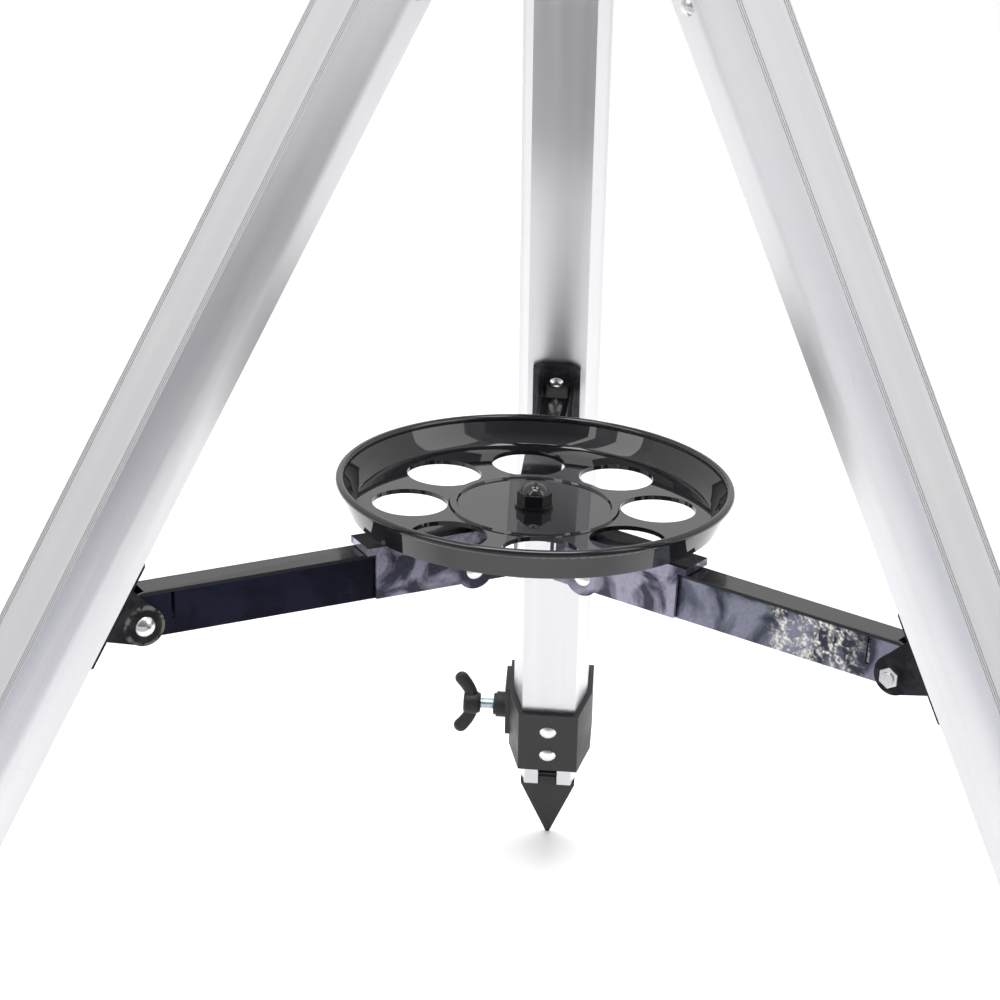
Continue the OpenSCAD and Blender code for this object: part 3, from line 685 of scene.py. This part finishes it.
# %% Surfaces from grids
def grid_piece(name, points, material):
    """A closed mesh from an array of rings, rows by columns by 3, with a fan cap at each end."""
    rows, columns = points.shape[:2]
    row, column = np.meshgrid(np.arange(rows - 1), np.arange(columns), indexing="ij")
    after = (column + 1) % columns
    faces = np.stack([row * columns + column, row * columns + after,
                      (row + 1) * columns + after, (row + 1) * columns + column], -1).reshape(-1, 4)
    ends = np.stack([points[0].mean(0), points[-1].mean(0)])
    around = np.arange(columns)
    following = (around + 1) % columns
    first = np.stack([following, around, np.full(columns, rows * columns)], -1)
    last = np.stack([(rows - 1) * columns + around, (rows - 1) * columns + following,
                     np.full(columns, rows * columns + 1)], -1)
    mesh = bpy.data.meshes.new(name)
    vertices = np.vstack([points.reshape(-1, 3), ends])
    mesh.from_pydata(vertices.tolist(), [], faces.tolist() + first.tolist() + last.tolist())
    mesh.materials.append(material)
    mesh.shade_smooth()
    made = bpy.data.objects.new(name, mesh)
    bpy.context.scene.collection.objects.link(made)
    return made


def cross_axes(axis):
    """Two unit vectors that make a right-handed set with axis."""
    helper = np.array([1.0, 0, 0]) if abs(axis[0]) < 0.9 else np.array([0, 1.0, 0])
    first = np.cross(axis, helper)
    first /= np.linalg.norm(first)
    return first, np.cross(axis, first)


print("grid helpers ready")

# %% [markdown]
# A thread is a helical groove. On a grid of angle and height it is one formula: the radius drops with the
# distance from the nearest crest, and the crest climbs one pitch for each turn.

# %% Threads
def threaded_rod(name, origin, axis, low, high, radius, pitch):
    """A rod along axis; radius minus a triangle wave of height over pitch, less the turn's share."""
    turns = np.linspace(0, 2 * pi, 40, endpoint=False)
    heights = np.arange(low, high, pitch / 8)
    angle, height = np.meshgrid(turns, heights)
    phase = (height / pitch - angle / (2 * pi)) % 1.0
    groove = 0.61 * pitch * (1 - 2 * np.abs(phase - 0.5))
    ends = np.clip(np.minimum(height - low, high - height) / (0.6 * pitch), 0, 1)
    reach = radius - groove * ends - (1 - ends) * 0.4 * pitch
    first, second = cross_axes(axis)
    points = (origin + height[..., None] * axis
              + reach[..., None] * (np.cos(angle)[..., None] * first + np.sin(angle)[..., None] * second))
    return grid_piece(name, points, ZINC)


def body_of_node(node):
    """The CAD body that a node belongs to."""
    groups = frame["record"]["behaviour"]["bodies"]
    return next(body for body, members in groups.items() if node in members)


def thread_for(node, origin, axis, radius, pitch):
    """Replaces a plain round node by a threaded one over the same stretch."""
    origin, axis = np.array(origin, float), np.array(axis, float)
    along = (node_points(node) - origin) @ axis
    made = threaded_rod(f"{node}_cut", origin, axis, along.min(), along.max(), radius, pitch)
    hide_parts(node)
    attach(made, body_of_node(node))
    print(f"{made.name}: {1000 * (along.max() - along.min()):.1f} mm of thread")
    return made


for side in SIDES:
    turn_joint = joints[f"wing_screw_turn_{side}"]
    thread_for(f"wing_thread_{side}", turn_joint["pos_m"], turn_joint["axis"], 3.0 * MM, 1.0 * MM)
thread_for("mount_stud", (0, 0, 0), (0, 0, 1), 4.76 * MM, 1.5875 * MM)

# %% [markdown]
# The grip of the wing screw is one moulding: a round boss with two wings that sweep outwards and away from
# the leg. Each wing is an ellipse carried along a curved path, swelling towards a round end.

# %% Wing grips
def wing(name, centre, axis, span):
    """One wing: path bends from the boss outwards and along the axis; the section swells, then closes."""
    across = np.cross(axis, span)
    t = np.linspace(0, 1, 40)
    out = 2.0 * MM + 15.2 * MM * t
    away = 4.2 * MM + 8.6 * MM * t ** 1.7
    slope = np.stack([np.gradient(out), np.gradient(away)], -1)
    slope /= np.linalg.norm(slope, axis=1, keepdims=True)
    closing = np.sqrt(np.clip(1 - np.clip((t - 0.80) / 0.20, 0, 1) ** 2, 1e-4, 1))
    half_w = (3.1 * MM + 0.8 * MM * t) * closing
    half_t = (2.8 * MM - 0.3 * MM * t) * closing
    angle = np.linspace(0, 2 * pi, 32, endpoint=False)
    path = centre + out[:, None] * span + away[:, None] * axis
    side = -slope[:, 1:2] * span + slope[:, 0:1] * axis
    points = (path[:, None] + half_w[:, None, None] * np.cos(angle)[None, :, None] * side[:, None]
              + half_t[:, None, None] * np.sin(angle)[None, :, None] * across)
    return grid_piece(name, points, NYLON)


def boss(name, centre, axis, length):
    """The grip's round middle: a turned profile with rounded rims."""
    height = np.array([0.0, 0.02, 0.10, 0.25, 0.80, 0.93, 0.99, 1.0]) * length
    radius = np.array([4.4, 5.0, 5.4, 6.1, 6.2, 5.9, 5.2, 4.6]) * MM
    angle = np.linspace(0, 2 * pi, 48, endpoint=False)
    first, second = cross_axes(axis)
    ring = np.cos(angle)[:, None] * first + np.sin(angle)[:, None] * second
    points = centre + height[:, None, None] * axis + radius[:, None, None] * ring[None]
    return grid_piece(name, points, NYLON)


def wing_grip(side):
    """Boss and two wings in one piece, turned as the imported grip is."""
    node = f"wing_grip_{side}"
    axis = np.array(joints[f"wing_screw_turn_{side}"]["axis"], float)
    points = node_points(node)
    origin = np.array(joints[f"wing_screw_turn_{side}"]["pos_m"], float)
    along = (points - origin) @ axis
    flat = points - origin - along[:, None] * axis
    span = np.linalg.svd(flat - flat.mean(0), full_matrices=False)[2][0]
    centre = origin + along.min() * axis
    parts = [boss(node + "_boss", centre, axis, 9 * MM),
             wing(node + "_wing_a", centre, axis, span), wing(node + "_wing_b", centre, axis, -span)]
    bpy.ops.object.select_all(action="DESELECT")
    for part in parts:
        part.select_set(True)
    bpy.context.view_layer.objects.active = parts[0]
    bpy.ops.object.join()
    made = parts[0]
    made.name = f"{node}_moulded"
    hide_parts(node)
    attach(made, body_of_node(node))
    return made


for side in SIDES:
    print(wing_grip(side).name)
